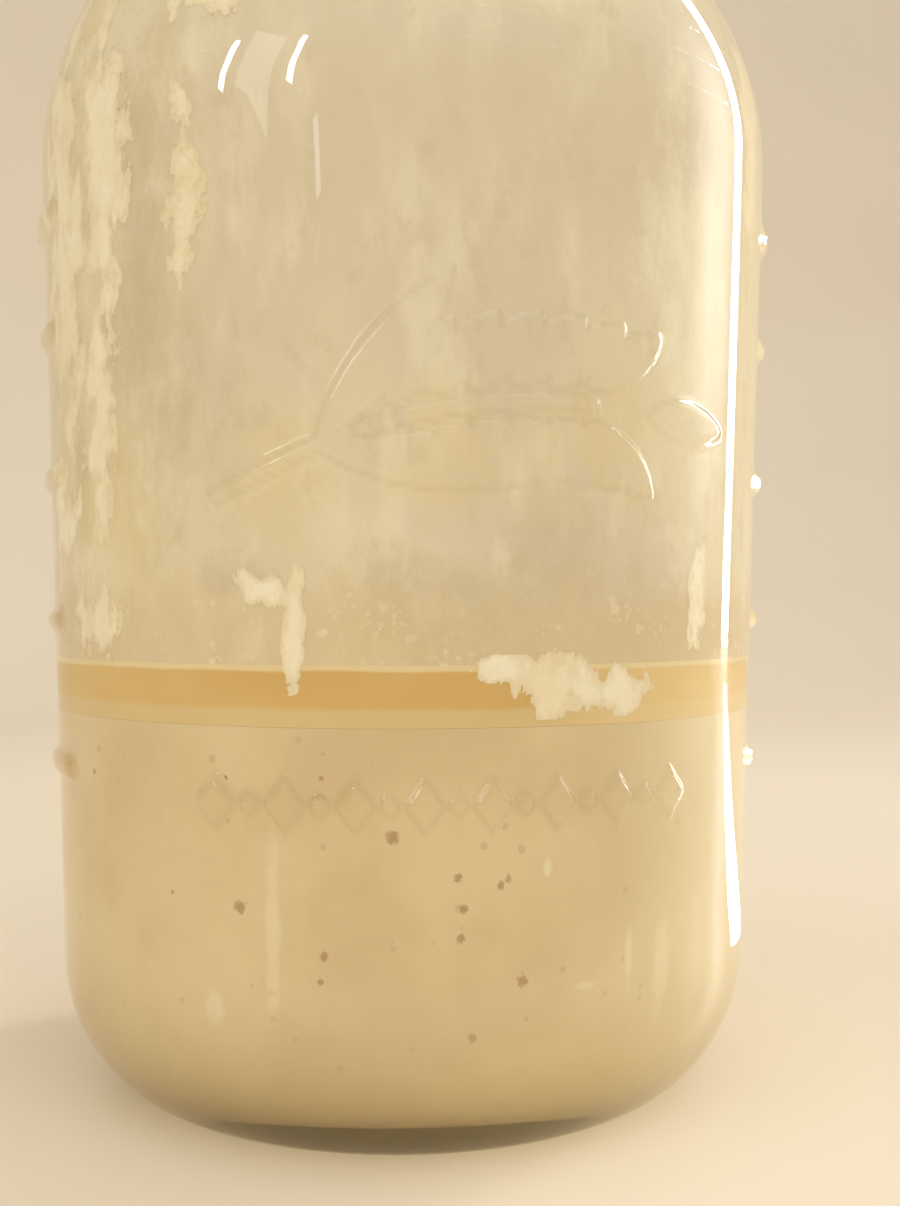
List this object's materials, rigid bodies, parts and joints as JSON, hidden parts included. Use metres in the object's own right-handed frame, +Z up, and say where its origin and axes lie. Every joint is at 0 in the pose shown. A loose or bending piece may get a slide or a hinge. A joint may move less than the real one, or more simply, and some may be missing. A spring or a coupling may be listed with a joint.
{
  "type": "sourdough starter jar",
  "caption": "Wide-mouthed screw-top glass jar with a two-piece metal lid, holding sourdough starter with separated liquid on top and dried film on the glass.",
  "frame": {"origin": "centre of the bearing ring that the jar stands on", "axes": "+Z up along the jar's axis, -Y towards the ornamented front"},
  "size_m": [0.0988, 0.0982, 0.175],
  "materials": {
    "glass": "gloss",
    "dough": "satin",
    "liquid": "gloss",
    "dried_dough": "matte",
    "seal_rubber": "matte",
    "disc_metal": "satin lacquer",
    "band_metal": "satin"
  },
  "bodies": {
    "jar": {"glass_jar": "glass", "starter": "dough", "hooch": "liquid", "dried_film": "dried_dough", "thick_smears": "dried_dough"},
    "lid": {"lid_disc": "disc_metal", "sealing_ring": "seal_rubber"},
    "band": {"screw_band": "band_metal"}
  },
  "joints": [
    {"name": "lid_rise", "type": "slide", "parent": "jar", "child": "lid", "axis": [0, 0, 1], "range_m": [0, 0.008]},
    {"name": "band_turn", "type": "hinge", "parent": "lid", "child": "band", "pos_m": [0, 0, 0.165], "axis": [0, 0, 1], "range_deg": [0, 450]}
  ],
  "couplings": [
    {"joint": "lid_rise", "follows": "band_turn", "m_per_rad": 0.0010106}
  ]
}
